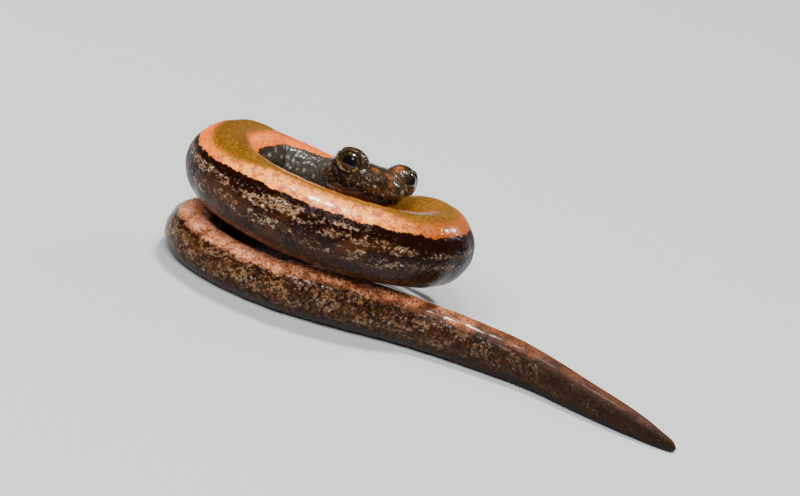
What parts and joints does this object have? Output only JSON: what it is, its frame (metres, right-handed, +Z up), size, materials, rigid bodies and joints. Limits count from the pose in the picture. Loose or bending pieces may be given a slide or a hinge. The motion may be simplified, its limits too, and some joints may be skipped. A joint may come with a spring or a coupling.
{
  "type": "california slender salamander",
  "caption": "Life-size still model of a California slender salamander, coiled with its head raised on the coil and its tail laid out straight.",
  "frame": {"origin": "middle of the whole animal seen from above, at the level that the tail and the lower coil rest on", "axes": "+X along the straight tail towards its tip, +Y from the side that faces the camera to the far side of the coil, +Z up"},
  "size_m": [0.0316, 0.0134, 0.0092],
  "materials": {
    "head_skin": "wet, dark brown with pale specks and coppery patches",
    "body_skin": "wet, coppery back stripe over dark, finely speckled sides",
    "limb_skin": "wet, dark brown with pale specks",
    "eye": "glossy, near-black with a thin golden ring"
  },
  "bodies": {
    "root": {"head": "head_skin", "eye_left": "eye", "eye_right": "eye", "neck": "body_skin", "trunk_1": "body_skin", "trunk_2": "body_skin", "trunk_3": "body_skin", "trunk_4": "body_skin", "trunk_5": "body_skin", "tail_1": "body_skin", "tail_2": "body_skin", "tail_3": "body_skin", "tail_4": "body_skin", "tail_5": "body_skin", "tail_6": "body_skin", "tail_7": "body_skin", "front_leg_left": "limb_skin", "front_foot_left": "limb_skin", "hind_leg_left": "limb_skin", "hind_foot_left": "limb_skin", "front_leg_right": "limb_skin", "front_foot_right": "limb_skin", "hind_leg_right": "limb_skin", "hind_foot_right": "limb_skin"}
  },
  "joints": []
}
